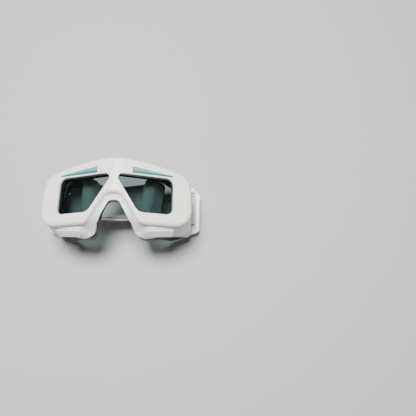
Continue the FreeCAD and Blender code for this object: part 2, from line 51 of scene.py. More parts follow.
# --------------------------------------------------------------------------------- shared dimensions
# Millimetres, as in the CAD model.  Outlines are (u, v, radius): u runs outwards from the nose line along
# a section parallel to the face, and v upwards from the top of the windows.
SWEEP = math.radians(16.57)
FACE_HEIGHT = 80.0
WINDOW_LINE = 19.7
CROWN_ROUND = 177.0
RIDGE = 6.0            # softness of the crease where the two facets meet
WALL = 2.2
WINDOW = [(0.4, 0.1, 4.4), (58.2, -0.6, 7.5), (58.2, -37.8, 6.5), (25.0, -37.6, 9.5)]
WINDOW_LINES = [22, 14, 12, 18]     # points on each straight run of the window's edge
GUARD = 0.8                         # ring of points round the window, this far out
BAR_AT = 73.7                       # bar under the strap slot
BAR_HEIGHT = 2.35
BAR_RADIUS = 0.85
SCREWS = [(16.0, 4.9), (42.0, 4.6), (62.3, -19.0), (53.0, -41.9), (33.0, -41.9)]
HEAD_HALF = 73.5
HEAD_DEPTH = 84.0
HEAD_CENTRE = -22.0
NOSE_LINE = -29.0
NOSE_RADIUS = 24.0
NOSE_HEIGHT = 50.3
NOSE_HALF = 22.0
NOSE_SOFT = 2.5        # softness of the fold where the nose meets the face
FAR_BELOW = -99.0      # stands for no nose under a point
SEAL_DEPTH = 18.0
SEAL_NOSE_DEPTH = 11.0
SEAL_WIDTH = 3.6
SEAL_INSET = 0.6       # in from the rim outline
SEAL_PITCH = 1.6       # spacing of the stations round the seal
LIP_CLEAR = 1.6        # seal to the underside of the nose lip
SEAL_LOBE_DROP = 7.0   # the seal starts this much lower in the lobes
BEAD_RADIUS = 0.6
BEAD_LIFT = 0.4
SEAL_FLOOR = 7.0
EAR_LOW = 6.0
EAR_THICK = 3.5
EAR_REACH = 80.3
SLOT = (71.4, 76.0, -34.8, 6.5)     # u and v limits of the strap slot
STRAP_MIDDLE = WINDOW_LINE - 14.2
STRAP_WIDE = 38.0
STRAP_THICK = 1.4
RED_LINE = 16.35                    # coloured thread, out from the middle of the webbing
SIDES = ((-1, "left"), (1, "right"))


# -------------------------------------------------------------------------------------- mesh helpers
def new_piece(name, vertices, faces, materials, smooth=True, body=BODY):
    """A mesh piece in the row frame, from vertices in millimetres."""
    mesh = bpy.data.meshes.new(name)
    mesh.from_pydata([tuple(float(c) * MM for c in v) for v in vertices], [], faces)
    mesh.validate()
    for material in materials:
        mesh.materials.append(material)
    piece = bpy.data.objects.new(name, mesh)
    bpy.context.scene.collection.objects.link(piece)
    if smooth:
        mesh.polygons.foreach_set("use_smooth", [True] * len(mesh.polygons))
    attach(piece, body)
    return piece


def edit(piece):
    work = bmesh.new()
    work.from_mesh(piece.data)
    return work


def close_edit(piece, work):
    bmesh.ops.recalc_face_normals(work, faces=work.faces)
    work.to_mesh(piece.data)
    work.free()


def sharp_bevel(piece, width, angle):
    """Rounds every edge sharper than the angle."""
    modifier = piece.modifiers.new("bevel", "BEVEL")
    modifier.width = width * MM
    modifier.segments = 3
    modifier.limit_method = "ANGLE"
    modifier.angle_limit = math.radians(angle)
    modifier.harden_normals = False
    apply_modifiers(piece)


def apply_modifiers(piece):
    depsgraph = bpy.context.evaluated_depsgraph_get()
    mesh = bpy.data.meshes.new_from_object(piece.evaluated_get(depsgraph))
    old = piece.data
    piece.modifiers.clear()
    piece.data = mesh
    mesh.name = old.name
    bpy.data.meshes.remove(old)
    mesh.polygons.foreach_set("use_smooth", [True] * len(mesh.polygons))


def weighted(piece):
    """Keeps flat areas flat under smooth shading."""
    modifier = piece.modifiers.new("normals", "WEIGHTED_NORMAL")
    modifier.keep_sharp = True
    modifier.weight = 60
    return piece


def rounded(corners, arc_points, line_points, closed):
    """Points along an outline through (u, v, radius) corners: the same count for any radii."""
    count = len(corners)
    spots = [np.array(c[:2], float) for c in corners]
    pieces = []
    for i in range(count):
        radius = corners[i][2]
        ends = not closed and i in (0, count - 1)
        if ends:
            pieces.append((spots[i], spots[i], [spots[i]]))
            continue
        back = spots[i - 1] - spots[i]
        ahead = spots[(i + 1) % count] - spots[i]
        back = back / np.linalg.norm(back)
        ahead = ahead / np.linalg.norm(ahead)
        half = math.acos(max(-1.0, min(1.0, float(back @ ahead)))) / 2
        reach = radius / math.tan(half)
        middle = (back + ahead) / np.linalg.norm(back + ahead)
        centre = spots[i] + middle * (radius / math.sin(half))
        start, end = spots[i] + back * reach, spots[i] + ahead * reach
        a0 = math.atan2(*(start - centre)[::-1])
        a1 = math.atan2(*(end - centre)[::-1])
        turn = (a1 - a0 + math.pi) % (2 * math.pi) - math.pi
        n = arc_points[i] if isinstance(arc_points, (list, tuple)) else arc_points
        ring = [centre + radius * np.array([math.cos(a0 + turn * t), math.sin(a0 + turn * t)])
                for t in np.linspace(0, 1, n)]
        pieces.append((start, end, ring))
    points = []
    for i in range(count):
        points.extend(pieces[i][2])
        if not closed and i == count - 1:
            break
        a = pieces[i][1]
        b = pieces[(i + 1) % count][0]
        n = line_points[i] if isinstance(line_points, (list, tuple)) else line_points
        for t in np.linspace(0, 1, n + 2)[1:-1]:
            points.append(a + (b - a) * t)
    return np.array(points)


def grown(corners, margin, closed=True):
    """The outline moved outwards; corners run clockwise, and an open outline keeps its ends on u = 0."""
    count = len(corners)
    last = count if closed else count - 1
    lines = []
    for i in range(last):
        p = np.array(corners[i][:2], float)
        q = np.array(corners[(i + 1) % count][:2], float)
        along = (q - p) / np.linalg.norm(q - p)
        lines.append((p + np.array([-along[1], along[0]]) * margin, along))
    result = []
    for i in range(count):
        radius = corners[i][2]
        if not closed and i == 0:
            p, d = lines[0]
            spot = p + d * (-p[0] / d[0])
        elif not closed and i == count - 1:
            p, d = lines[-1]
            spot = p + d * (-p[0] / d[0])
        else:
            p, d = lines[i - 1]
            q, e = lines[i % last]
            cross = d[0] * e[1] - d[1] * e[0]
            step = ((q[0] - p[0]) * e[1] - (q[1] - p[1]) * e[0]) / cross
            spot = p + d * step
            if radius > 0:
                radius = max(radius + (margin if cross < 0 else -margin), 0.3)
        result.append((float(spot[0]), float(spot[1]), radius))
    return result


def through(stations, steps):
    """Smooth curves through stations, an array (station, point, 3): Catmull-Rom by chord length."""
    stations = np.asarray(stations)
    gaps = np.linalg.norm(np.diff(stations, axis=0), axis=2).mean(axis=1)
    knots = np.concatenate([[0], np.cumsum(gaps)])
    slopes = np.zeros_like(stations)
    for i in range(len(stations)):
        if i == 0:
            slopes[i] = (stations[1] - stations[0]) / (knots[1] - knots[0])
        elif i == len(stations) - 1:
            slopes[i] = (stations[-1] - stations[-2]) / (knots[-1] - knots[-2])
        else:
            g0, g1 = knots[i] - knots[i - 1], knots[i + 1] - knots[i]
            s0 = (stations[i] - stations[i - 1]) / g0
            s1 = (stations[i + 1] - stations[i]) / g1
            slopes[i] = (s0 * g1 + s1 * g0) / (g0 + g1)
    rows = []
    for i in range(len(stations) - 1):
        gap = knots[i + 1] - knots[i]
        for t in np.linspace(0, 1, steps[i] + 1)[:-1]:
            h00 = 2 * t**3 - 3 * t**2 + 1
            h10 = t**3 - 2 * t**2 + t
            h01 = -2 * t**3 + 3 * t**2
            h11 = t**3 - t**2
            start = h00 * stations[i] + h10 * gap * slopes[i]
            end = h01 * stations[i + 1] + h11 * gap * slopes[i + 1]
            rows.append(start + end)
    rows.append(stations[-1])
    return np.array(rows)


# ------------------------------------------------------------------------------------------ geometry
def on_plane(points, height, tilt):
    """Section-plane points (u, v) to the row frame; the crease at the nose line is softened."""
    x = points[:, 0] * math.cos(tilt)
    z = height - math.tan(tilt) * np.sqrt(x**2 + RIDGE**2)
    return np.column_stack([x, points[:, 1] + WINDOW_LINE, z])


def facet_height(depth):
    """Height at the nose line of the plane a depth behind the face."""
    return FACE_HEIGHT - depth / math.cos(SWEEP)


def head_height(x, y, shrink=0.0, nose_shrink=0.0):
    """Height of the wearer's face under a point."""
    half = HEAD_HALF - shrink
    skull = HEAD_CENTRE + (HEAD_DEPTH - shrink) * np.sqrt(np.clip(1 - (x / half) ** 2, 0, None))
    across = np.clip(1 - (x / NOSE_HALF) ** 4, 0, None) ** 0.35
    radius = (NOSE_RADIUS - nose_shrink) * across
    along = y - (WINDOW_LINE + NOSE_LINE)
    nose = NOSE_HEIGHT + np.sqrt(np.clip(radius**2 - along**2, 0, None))
    nose = np.where(radius > abs(along), nose, FAR_BELOW)
    return NOSE_SOFT * np.logaddexp(skull / NOSE_SOFT, nose / NOSE_SOFT)


# points on each corner's arc, and on each straight run, of a half outline
ARCS = [1, 26, 12, 12, 12, 12, 1]
LINES = [3, 2, 16, 20, 14, 4, 0]


def half_loop(corners):
    return rounded(corners, ARCS, LINES, closed=False)


FACE = [
    (0, 17.0, 0), (32.0, 17.0, CROWN_ROUND), (75.8, 2.5, 15.0), (77.5, -48.5, 17.0),
    (27.2, -48.7, 11.0), (8.2, -19.5, 10.0), (0, -19.5, 0),
]
NECK = [
    (0, 15.4, 0), (32.0, 15.4, CROWN_ROUND), (73.7, 1.3, 14.0), (75.3, -47.6, 15.5),
    (25.2, -48.4, 9.0), (6.8, -20.9, 8.5), (0, -20.9, 0),
]
NOSE_LIP = [
    (0, 15.0, 0), (32.0, 15.0, CROWN_ROUND), (73.0, 0.8, 13.5), (74.0, -47.4, 15.0),
    (20.9, -52.6, 7.0), (4.9, -25.2, 5.0), (0, -25.2, 0),
]
BEHIND_NOSE = [
    (0, 15.3, 0), (32.0, 15.3, CROWN_ROUND), (73.2, 1.0, 13.5), (73.2, -47.2, 14.0),
    (21.6, -55.6, 6.5), (5.0, -25.2, 5.0), (0, -25.2, 0),
]
CHEEK_LIP = [
    (0, 16.4, 0), (32.0, 16.4, CROWN_ROUND), (73.5, 1.6, 14.0), (73.5, -46.5, 12.0),
    (22.0, -58.4, 6.5), (5.1, -24.8, 5.0), (0, -24.8, 0),
]
RIM = [
    (0, 16.4, 0), (32.0, 16.4, CROWN_ROUND), (71.0, 8.0, 10.0), (71.0, -45.0, 10.0),
    (22.6, -58.5, 6.5), (5.2, -24.8, 5.0), (0, -24.8, 0),
]
ROLL = 3.6             # radius of the rolled edge of the face
ROLL_ANGLES = (0, 15, 30, 45, 60, 75, 90)
ROLL_ROWS = len(ROLL_ANGLES) - 1
LIP_ROW = 13           # first row of the skin that may end on the wearer's face
ROW_CROWDING = 1.2     # rows behind the roll lie closer together near it
NECK_DEPTH = 5.2       # depths behind the face
LIP_DEPTH = 6.8
NOSE_DEPTH = 9.5
CHEEK_DEPTH = 15.5
SKIN_END = -12.0       # height at which the uncut skin ends
STEPS = [1] * ROLL_ROWS + [3, 4, 5, 6, 44]
LIP_DROP = 8.0         # how much deeper the lip runs at the cheek
LOBE_DROP = 4.2        # the wall beside the nose reaches this much past the face


def lobe_share(x, y):
    """1 in the lobes beside the nose, fading to 0 around them."""
    return smooth_step(-y, 22.0, 33.0) * (1 - smooth_step(np.abs(x), 33.0, 46.0))


def smooth_step(values, low, high):
    share = np.clip((np.asarray(values) - low) / (high - low), 0, 1)
    return share * share * (3 - 2 * share)


def lip_drop(x, v):
    """How far the nose lip sinks: at the cheek only."""
    return LIP_DROP * smooth_step(-v, 37.0, 51.0) * (1 - smooth_step(x, 23.0, 34.0))


def sunk(rows, share):
    drop = lip_drop(rows[:, 0], rows[:, 1] - WINDOW_LINE)
    return rows - np.column_stack([np.zeros(len(rows)), np.zeros(len(rows)), drop * share])


def squared(rows, depth):
    """Moves the nose side of a section square to the facet, so that the wall clears the gasket."""
    share = smooth_step(rows[:, 0], 0.0, 7.0) * (1 - smooth_step(rows[:, 0], 36.0, 60.0))
    shift = depth * math.sin(SWEEP) * share
    return rows - np.column_stack([shift, np.zeros(len(rows)), np.zeros(len(rows))])


def outer_skin():
    """Wall of the right half as rows of points from the face edge to below the rim."""
    stations = []
    for angle in ROLL_ANGLES:
        turn = math.radians(angle)
        inset = ROLL * (1 - math.sin(turn))
        depth = ROLL * (1 - math.cos(turn))
        loop = half_loop(grown(FACE, -inset, closed=False))
        stations.append(squared(on_plane(loop, facet_height(depth), SWEEP), depth))
    neck = squared(on_plane(half_loop(NECK), facet_height(NECK_DEPTH), SWEEP), NECK_DEPTH)
    stations.append(sunk(neck, 0.25))
    stations.append(sunk(on_plane(half_loop(NOSE_LIP), facet_height(LIP_DEPTH), SWEEP), 1.0))
    stations.append(sunk(on_plane(half_loop(BEHIND_NOSE), facet_height(NOSE_DEPTH), SWEEP * 0.97), 1.0))
    stations.append(sunk(on_plane(half_loop(CHEEK_LIP), facet_height(CHEEK_DEPTH), SWEEP * 0.92), 0.6))
    stations.append(on_plane(half_loop(RIM), SKIN_END, 0.0))
    return through(stations, STEPS)


def cut_at_head(rows):
    """The rows, resampled so that every column ends on the wearer's face, or past it in the lobes."""
    result = np.empty_like(rows)
    count = len(rows)
    for k in range(rows.shape[1]):
        column = rows[:, k]
        lobe = lobe_share(column[:, 0], column[:, 1])
        floor = np.maximum(head_height(column[:, 0], column[:, 1]) - LOBE_DROP * lobe, EAR_LOW)
        above = column[:, 2] - floor
        last = next((i for i in range(LIP_ROW, count) if above[i] < 0), count - 1)
        share = 1.0
        if above[last] < 0 < above[last - 1]:
            share = above[last - 1] / (above[last - 1] - above[last])
        end = column[last - 1] + (column[last] - column[last - 1]) * share
        track = np.vstack([column[:last], end])
        steps = np.concatenate([[0], np.cumsum(np.linalg.norm(np.diff(track, axis=0), axis=1))])
        fixed = steps[ROLL_ROWS]
        spread = np.linspace(0, 1, count - ROLL_ROWS)[1:] ** ROW_CROWDING
        wanted = np.concatenate([steps[:ROLL_ROWS + 1], fixed + (steps[-1] - fixed) * spread])
        result[:, k] = np.column_stack([np.interp(wanted, steps, track[:, c]) for c in range(3)])
    return result


def inside(point, polygon):
    x, y = point
    result = False
    for (x0, y0), (x1, y1) in zip(polygon, np.roll(polygon, -1, axis=0)):
        if (y0 > y) != (y1 > y) and x < x0 + (y - y0) * (x1 - x0) / (y1 - y0):
            result = not result
    return result


BOW = 4e-6             # inward bow of the face edge while it is filled
SHEET_PITCH = 2.2      # spacing of the points inside the face
SHEET_CLEAR = 1.3      # and how far they keep from its edges


def face_sheet(edge, window, guard):
    """Triangles of the flat face between its edge and the window, with a guard ring round the window.

    The edge is bowed inwards a hair while it is filled, so that its straight runs make no slivers.
    """
    points, edges = [], []
    spread = edge - np.mean(window, axis=0)
    bow = BOW * (spread**2).sum(axis=1, keepdims=True) * (edge[:, :1] > 1)
    bowed = edge + spread * bow
    for ring in (bowed, window, guard):
        start = len(points)
        points += [tuple(p) for p in ring]
        edges += [(start + i, start + (i + 1) % len(ring)) for i in range(len(ring))]
    rim = np.array(points + [np.add(points[a], points[b]) / 2 for a, b in edges])
    for x in np.arange(SHEET_PITCH, 76, SHEET_PITCH):
        for y in np.arange(-50, 18, SHEET_PITCH):
            if inside((x, y), bowed) and not inside((x, y), guard):
                if np.min(np.linalg.norm(rim - (x, y), axis=1)) > SHEET_CLEAR:
                    points.append((x, y))
    for y in np.arange(edge[-1][1] + SHEET_PITCH, edge[0][1] - 1, SHEET_PITCH):
        points.append((0.0, y))
    verts, _, tris, origin, _, _ = delaunay_2d_cdt([Vector(p) for p in points], edges, [], 0, 1e-5)
    kept = []
    for tri in tris:
        middle = np.mean([verts[i] for i in tri], axis=0)
        if inside(middle, bowed) and not inside(middle, window):
            kept.append(tuple(tri))
    flat = np.array([tuple(v) for v in verts])
    for i, sources in enumerate(origin):
        if sources and sources[0] < len(edge):
            flat[i] = edge[sources[0]]
    return flat, kept


def build_frame(paint):
    """The whole moulding: skin of the wall and sheet of the face, mirrored, joined and thickened inwards."""
    rows = cut_at_head(outer_skin())
    count, width = rows.shape[:2]
    vertices = [tuple(p) for p in rows.reshape(-1, 3)]
    faces = []
    for i in range(count - 1):
        for k in range(width - 1):
            a = i * width + k
            faces.append((a, a + 1, a + width + 1, a + width))
    edge = half_loop(grown(FACE, -ROLL, closed=False))
    window = rounded(WINDOW, 10, WINDOW_LINES, closed=True)
    guard = rounded(grown(WINDOW, GUARD), 10, WINDOW_LINES, closed=True)
    points, triangles = face_sheet(edge, window, guard)
    flat = on_plane(points, FACE_HEIGHT, SWEEP)
    base = len(vertices)
    vertices += [tuple(p) for p in flat]
    faces += [tuple(base + i for i in tri) for tri in triangles]
    mirrored = [(-x, y, z) for x, y, z in vertices]
    shift = len(vertices)
    faces += [tuple(shift + i for i in reversed(face)) for face in faces]
    piece = new_piece("frame_moulding", vertices + mirrored, faces, [paint])
    work = edit(piece)
    bmesh.ops.remove_doubles(work, verts=work.verts, dist=0.02 * MM)
    close_edit(piece, work)
    thicken = piece.modifiers.new("wall", "SOLIDIFY")
    thicken.thickness = WALL * MM
    thicken.offset = -1
    thicken.use_even_offset = False
    apply_modifiers(piece)
    sharp_bevel(piece, 0.45, angle=50)
    return weighted(piece)


# ------------------------------------------------------------------------------ procedural materials
def material(name, colour, roughness):
    result = bpy.data.materials.new(name)
    result.use_nodes = True
    shader = result.node_tree.nodes["Principled BSDF"]
    shader.inputs["Base Color"].default_value = (*colour, 1)
    shader.inputs["Roughness"].default_value = roughness
    return result, result.node_tree, shader


def place_texture(tree, stretch=(1, 1, 1)):
    """Object coordinates in metres, stretched along the axes."""
    spot = tree.nodes.new("ShaderNodeTexCoord")
    mapping = tree.nodes.new("ShaderNodeMapping")
    mapping.inputs["Scale"].default_value = stretch
    tree.links.new(spot.outputs["Object"], mapping.inputs["Vector"])
    return mapping.outputs["Vector"]


def noise(tree, scale, detail=2.0, stretch=(1, 1, 1)):
    texture = tree.nodes.new("ShaderNodeTexNoise")
    texture.inputs["Scale"].default_value = scale
    texture.inputs["Detail"].default_value = detail
    tree.links.new(place_texture(tree, stretch), texture.inputs["Vector"])
    return texture.outputs["Fac"]


def ramp(tree, source, low, high, out_low=0.0, out_high=1.0):
    """Source mapped from low..high to out_low..out_high, clamped."""
    node = tree.nodes.new("ShaderNodeMapRange")
    node.inputs["From Min"].default_value = low
    node.inputs["From Max"].default_value = high
    node.inputs["To Min"].default_value = out_low
    node.inputs["To Max"].default_value = out_high
    tree.links.new(source, node.inputs["Value"])
    return node.outputs["Result"]


def mix_colour(tree, factor, one, two):
    """Each of one and two is a colour or a socket."""
    node = tree.nodes.new("ShaderNodeMix")
    node.data_type = "RGBA"
    tree.links.new(factor, node.inputs["Factor"])
    for name, value in (("A", one), ("B", two)):
        socket = next(s for s in node.inputs if s.name == name and s.type == "RGBA")
        if isinstance(value, tuple):
            socket.default_value = (*value, 1)
        else:
            tree.links.new(value, socket)
    return next(s for s in node.outputs if s.type == "RGBA")


def maths(tree, operation, one, two=0.0):
    node = tree.nodes.new("ShaderNodeMath")
    node.operation = operation
    for index, value in enumerate((one, two)):
        if isinstance(value, (int, float)):
            node.inputs[index].default_value = value
        else:
            tree.links.new(value, node.inputs[index])
    return node.outputs["Value"]


def bump(tree, shader, height, strength, distance):
    """Adds to whatever bump the shader already has."""
    node = tree.nodes.new("ShaderNodeBump")
    node.inputs["Strength"].default_value = strength
    node.inputs["Distance"].default_value = distance
    if shader.inputs["Normal"].is_linked:
        tree.links.new(shader.inputs["Normal"].links[0].from_socket, node.inputs["Normal"])
    tree.links.new(height, node.inputs["Height"])
    tree.links.new(node.outputs["Normal"], shader.inputs["Normal"])


def white_plastic(name="moulded_white", light=(0.83, 0.815, 0.765), dark=(0.765, 0.745, 0.685)):
    """Glossy moulding: faint yellowing in patches, orange peel, and fine rubbing that dulls the gloss."""
    result, tree, shader = material(name, light, 0.3)
    patches = ramp(tree, noise(tree, 34, 3), 0.38, 0.72)
    tree.links.new(mix_colour(tree, patches, light, dark), shader.inputs["Base Color"])
    rubbing = ramp(tree, noise(tree, 60, 6, (1.0, 9.0, 1.0)), 0.52, 0.75, 0.0, 0.2)
    gloss = ramp(tree, noise(tree, 90, 2), 0.3, 0.7, 0.24, 0.36)
    tree.links.new(maths(tree, "ADD", rubbing, gloss), shader.inputs["Roughness"])
    bump(tree, shader, noise(tree, 420, 2), 0.06, 0.0004)
    bump(tree, shader, noise(tree, 2600, 3), 0.05, 0.0001)
    return result


def rubber(name, colour, dusty, roughness):
    """Soft elastomer: fine grain, dusty patches."""
    result, tree, shader = material(name, colour, roughness)
    dust = ramp(tree, noise(tree, 130, 5), 0.45, 0.8)
    tree.links.new(mix_colour(tree, dust, colour, dusty), shader.inputs["Base Color"])
    tree.links.new(ramp(tree, noise(tree, 260, 3), 0.3, 0.7, roughness - 0.07, roughness + 0.1),
                   shader.inputs["Roughness"])
    bump(tree, shader, noise(tree, 1700, 3), 0.16, 0.00015)
    return result


def foam():
    """Open-cell filter foam; the middle of each cell is painted darker, as painted shade in its hollow."""
    result, tree, shader = material("filter_foam", (0.07, 0.07, 0.075), 0.95)
    cells = tree.nodes.new("ShaderNodeTexVoronoi")
    cells.inputs["Scale"].default_value = 1300
    tree.links.new(place_texture(tree), cells.inputs["Vector"])
    # painted shade: dark in the middle of each cell, pale on its walls
    depth = ramp(tree, cells.outputs["Distance"], 0.1, 0.6)
    colour = mix_colour(tree, depth, (0.02, 0.02, 0.022), (0.13, 0.13, 0.135))
    tree.links.new(colour, shader.inputs["Base Color"])
    bump(tree, shader, cells.outputs["Distance"], 0.7, 0.0006)
    return result


def steel():
    """Plated screws: fine turning marks."""
    result, tree, shader = material("plated_steel", (0.55, 0.55, 0.56), 0.3)
    shader.inputs["Metallic"].default_value = 1.0
    turning = ramp(tree, noise(tree, 1500, 2, (1, 1, 6)), 0.3, 0.7, 0.22, 0.42)
    tree.links.new(turning, shader.inputs["Roughness"])
    bump(tree, shader, noise(tree, 2400, 2, (1, 8, 1)), 0.12, 0.0001)
    return result


def ink(name, colour, worn):
    """Pad-printed stripe: slightly uneven, worn in specks."""
    result, tree, shader = material(name, colour, 0.34)
    specks = ramp(tree, noise(tree, 700, 5), 0.62, 0.8, 0.0, 0.5)
    tree.links.new(mix_colour(tree, specks, colour, worn), shader.inputs["Base Color"])
    tree.links.new(ramp(tree, noise(tree, 300, 3), 0.3, 0.7, 0.28, 0.45), shader.inputs["Roughness"])
    return result


def tinted_plate():
    """Absorbing filter plate: each surface tints what passes it, and mirrors a little."""
    result = bpy.data.materials.new("filter_plate")
    result.use_nodes = True
    tree = result.node_tree
    tree.nodes.clear()
    output = tree.nodes.new("ShaderNodeOutputMaterial")
    clear = tree.nodes.new("ShaderNodeBsdfTransparent")
    clear.inputs["Color"].default_value = (0.475, 0.55, 0.545, 1)
    gloss = tree.nodes.new("ShaderNodeBsdfGlossy")
    gloss.inputs["Roughness"].default_value = 0.05
    gloss.inputs["Color"].default_value = (0.85, 0.95, 0.95, 1)
    fresnel = tree.nodes.new("ShaderNodeFresnel")
    fresnel.inputs["IOR"].default_value = 1.42
    mixer = tree.nodes.new("ShaderNodeMixShader")
    tree.links.new(fresnel.outputs["Fac"], mixer.inputs["Fac"])
    tree.links.new(clear.outputs["BSDF"], mixer.inputs[1])
    tree.links.new(gloss.outputs["BSDF"], mixer.inputs[2])
    tree.links.new(mixer.outputs["Shader"], output.inputs["Surface"])
    return result


def webbing():
    """Pale elastic webbing woven in ribs, with painted shade in the dips of the weave and one coloured
    thread near each edge; UV is in metres.
    """
    result, tree, shader = material("strap_webbing", (0.3, 0.31, 0.3), 0.85)
    uv = tree.nodes.new("ShaderNodeUVMap")
    uv.uv_map = "length"
    parts = tree.nodes.new("ShaderNodeSeparateXYZ")
    tree.links.new(uv.outputs["UV"], parts.inputs["Vector"])
    along, across = parts.outputs["X"], parts.outputs["Y"]
    pick = maths(tree, "SINE", maths(tree, "MULTIPLY", along, 2 * math.pi / (1.5 * MM)))
    rib = maths(tree, "SINE", maths(tree, "MULTIPLY", across, 2 * math.pi / (1.9 * MM)))
    weave = maths(tree, "MULTIPLY", pick, rib)
    # painted shade: raised threads lighter, dips of the weave darker; the fuzz adds random tone of the yarn
    weave_shade = ramp(tree, weave, -1, 1)
    fuzz = ramp(tree, noise(tree, 900, 5), 0.3, 0.7)
    weave_shade_and_fuzz = maths(tree, "ADD", maths(tree, "MULTIPLY", weave_shade, 0.55), maths(tree, "MULTIPLY", fuzz, 0.45))
    cloth = mix_colour(tree, weave_shade_and_fuzz, (0.48, 0.495, 0.49), (0.80, 0.81, 0.80))
    beside = maths(tree, "SUBTRACT", maths(tree, "ABSOLUTE", across), RED_LINE * MM)
    offset = maths(tree, "ABSOLUTE", beside)
    line = maths(tree, "LESS_THAN", offset, 0.55 * MM)
    thread = ramp(tree, maths(tree, "ABSOLUTE", pick), 0.05, 0.4, 0.25, 1.0)
    red = mix_colour(tree, maths(tree, "MULTIPLY", line, thread), cloth, (0.33, 0.045, 0.04))
    tree.links.new(red, shader.inputs["Base Color"])
    bump(tree, shader, weave, 0.5, 0.00025)
    bump(tree, shader, fuzz, 0.2, 0.0002)
    shader.inputs["Sheen Weight"].default_value = 0.35
    shader.inputs["Sheen Roughness"].default_value = 0.5
    return result


# ----------------------------------------------------------------------------- strap ears and bosses
def plate_with_holes(outline, holes):
    """Triangles of a flat plate; returns points and triangles."""
    rings = [outline] + holes
    points, edges = [], []
    for ring in rings:
        start = len(points)
        points += [tuple(p) for p in ring]
        edges += [(start + i, start + (i + 1) % len(ring)) for i in range(len(ring))]
    verts, _, tris, _, _, _ = delaunay_2d_cdt([Vector(p) for p in points], edges, [], 0, 1e-5)
    kept = []
    for tri in tris:
        middle = np.mean([verts[i] for i in tri], axis=0)
        if inside(middle, outline) and not any(inside(middle, hole) for hole in holes):
            kept.append(tuple(tri))
    return np.array([tuple(v) for v in verts]), kept


def thick_plate(name, outline, holes, place, low, high, paint, round_edge):
    """Plate between two heights of a local frame, with rounded edges; place maps rows to the row frame."""
    points, triangles = plate_with_holes(outline, holes)
    count = len(points)
    top = np.column_stack([points, np.full(count, high)])
    base = np.column_stack([points, np.full(count, low)])
    faces = [tuple(t) for t in triangles] + [tuple(count + i for i in reversed(t)) for t in triangles]
    start = 0
    for ring in [outline] + holes:
        size = len(ring)
        for i in range(size):
            a, b = start + i, start + (i + 1) % size
            faces.append((a, b, count + b, count + a))
        start += size
    piece = new_piece(name, place(np.vstack([top, base])), faces, [paint])
    work = edit(piece)
    bmesh.ops.dissolve_limit(work, angle_limit=math.radians(1), verts=work.verts, edges=work.edges)
    close_edit(piece, work)
    sharp_bevel(piece, round_edge, angle=40)
    return weighted(piece)


def build_ear(side, hand, paint):
    """Level strap ear with its tall slot."""
    root = 69.0
    outline = [
        (root, 10.0, 2.5), (SLOT[0] - 0.4, 12.0, 2.0), (EAR_REACH, 1.5, 5.5),
        (EAR_REACH, -39.5, 5.0), (root, -44.0, 2.0),
    ]
    slot = [
        (SLOT[0], SLOT[3], 1.5), (SLOT[1], SLOT[3], 1.5), (SLOT[1], SLOT[2], 1.5), (SLOT[0], SLOT[2], 1.5),
    ]

    def place(rows):
        return np.column_stack([side * rows[:, 0], rows[:, 1] + WINDOW_LINE, rows[:, 2]])

    outer = rounded(outline, 8, 0, closed=True)
    hole = rounded(slot, 6, 0, closed=True)
    return thick_plate(f"strap_ear_{hand}", outer, [hole], place, EAR_LOW, EAR_LOW + EAR_THICK, paint, 0.8)


def build_bar(side, hand, paint):
    """Bar under the slot, which the webbing loops round, on two rounded lugs."""
    low_y, high_y = STRAP_MIDDLE - STRAP_WIDE / 2 - 0.5, STRAP_MIDDLE + STRAP_WIDE / 2 + 0.5
    half_long = (high_y - low_y) / 2 + 1.5
    shape, ring = lathe([(BAR_RADIUS, -half_long), (BAR_RADIUS, half_long)], 24)
    turned = shape[:, [0, 2, 1]]
    work = bmesh.new()
    for x, y, z in turned:
        work.verts.new(((side * BAR_AT + x) * MM, (STRAP_MIDDLE + y) * MM, (BAR_HEIGHT + z) * MM))
    work.verts.ensure_lookup_table()
    for face in ring:
        work.faces.new([work.verts[i] for i in face])
    lug_half, lug_low, lug_high = (2.5, 1.5), 0.6, EAR_LOW + 1.0
    for middle_y in (low_y - lug_half[1], high_y + lug_half[1]):
        made = bmesh.ops.create_cube(work, size=2.0)
        for vertex in made["verts"]:
            vertex.co = (
                (side * BAR_AT + vertex.co.x * lug_half[0]) * MM,
                (middle_y + vertex.co.y * lug_half[1]) * MM,
                ((lug_low + lug_high) / 2 + vertex.co.z * (lug_high - lug_low) / 2) * MM,
            )
    bmesh.ops.recalc_face_normals(work, faces=work.faces)
    piece = new_piece(f"strap_bar_{hand}", [], [], [paint])
    work.to_mesh(piece.data)
    work.free()
    sharp_bevel(piece, 0.5, angle=60)
    return weighted(piece)


def facet_matrix(side):
    """From facet coordinates to the row frame, in millimetres."""
    return Matrix.Translation((0, WINDOW_LINE, FACE_HEIGHT)) @ Matrix.Rotation(side * SWEEP, 4, "Y")


def transformed(rows, matrix):
    rows = np.asarray(rows, float)
    table = np.array(matrix)
    return rows @ table[:3, :3].T + table[:3, 3]


def lathe(profile, segments):
    """Closed solid of revolution about local Z from (radius, height) points; ends on the axis."""
    vertices, faces = [], []
    for radius, height in profile:
        for k in range(segments):
            angle = 2 * math.pi * k / segments
            vertices.append((radius * math.cos(angle), radius * math.sin(angle), height))
    for i in range(len(profile) - 1):
        for k in range(segments):
            a = i * segments + k
            b = i * segments + (k + 1) % segments
            faces.append((a, b, b + segments, a + segments))
    faces.append(tuple(range(segments))[::-1])
    faces.append(tuple((len(profile) - 1) * segments + k for k in range(segments)))
    return np.array(vertices), faces


def build_bosses(paint):
    """Screw posts behind the face, each with a flared root."""
    profile = [(4.0, -2.0), (3.2, -2.5), (2.75, -3.3), (2.6, -4.4), (2.6, -6.1), (2.35, -6.35)]
    shape, ring = lathe(profile, 28)
    vertices, faces = [], []
    for side, _ in SIDES:
        for u, v in SCREWS:
            start = len(vertices)
            place = facet_matrix(side) @ Matrix.Translation((side * u, v, 0))
            vertices += list(transformed(shape, place))
            faces += [tuple(start + i for i in face) for face in ring]
    piece = new_piece("screw_posts", vertices, faces, [paint])
    close_edit(piece, edit(piece))
    return weighted(piece)


